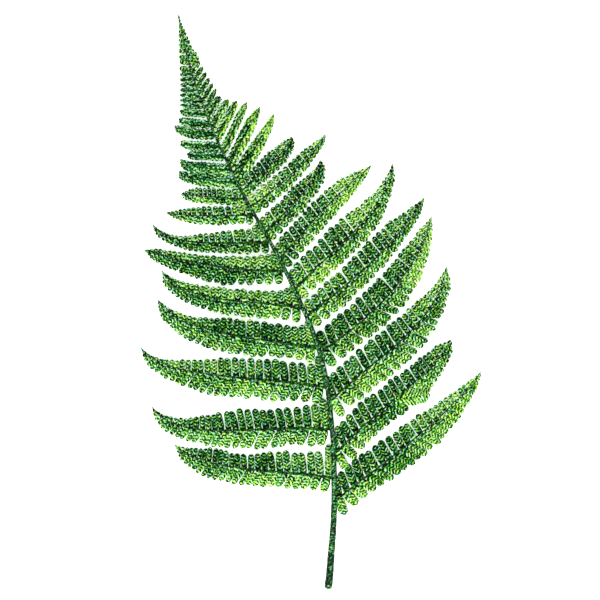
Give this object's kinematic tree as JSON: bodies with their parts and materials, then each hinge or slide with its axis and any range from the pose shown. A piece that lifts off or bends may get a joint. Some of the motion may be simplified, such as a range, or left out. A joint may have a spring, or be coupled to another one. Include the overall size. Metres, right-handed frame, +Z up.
{
  "type": "bracken frond",
  "caption": "Picked bracken frond lying flat: a bare cut stalk, a curved rachis, side branches with cut leaflets and a tapering apex.",
  "frame": {"origin": "centre of the frond's plan on the surface that it lies on", "axes": "+Y from the cut end of the stalk towards the apex, +X to the right as seen from above, +Z up out of the surface"},
  "size_m": [0.3401, 0.5739, 0.014],
  "materials": {
    "frond_green": "satin"
  },
  "bodies": {
    "root": {"frond": "frond_green"}
  },
  "joints": []
}
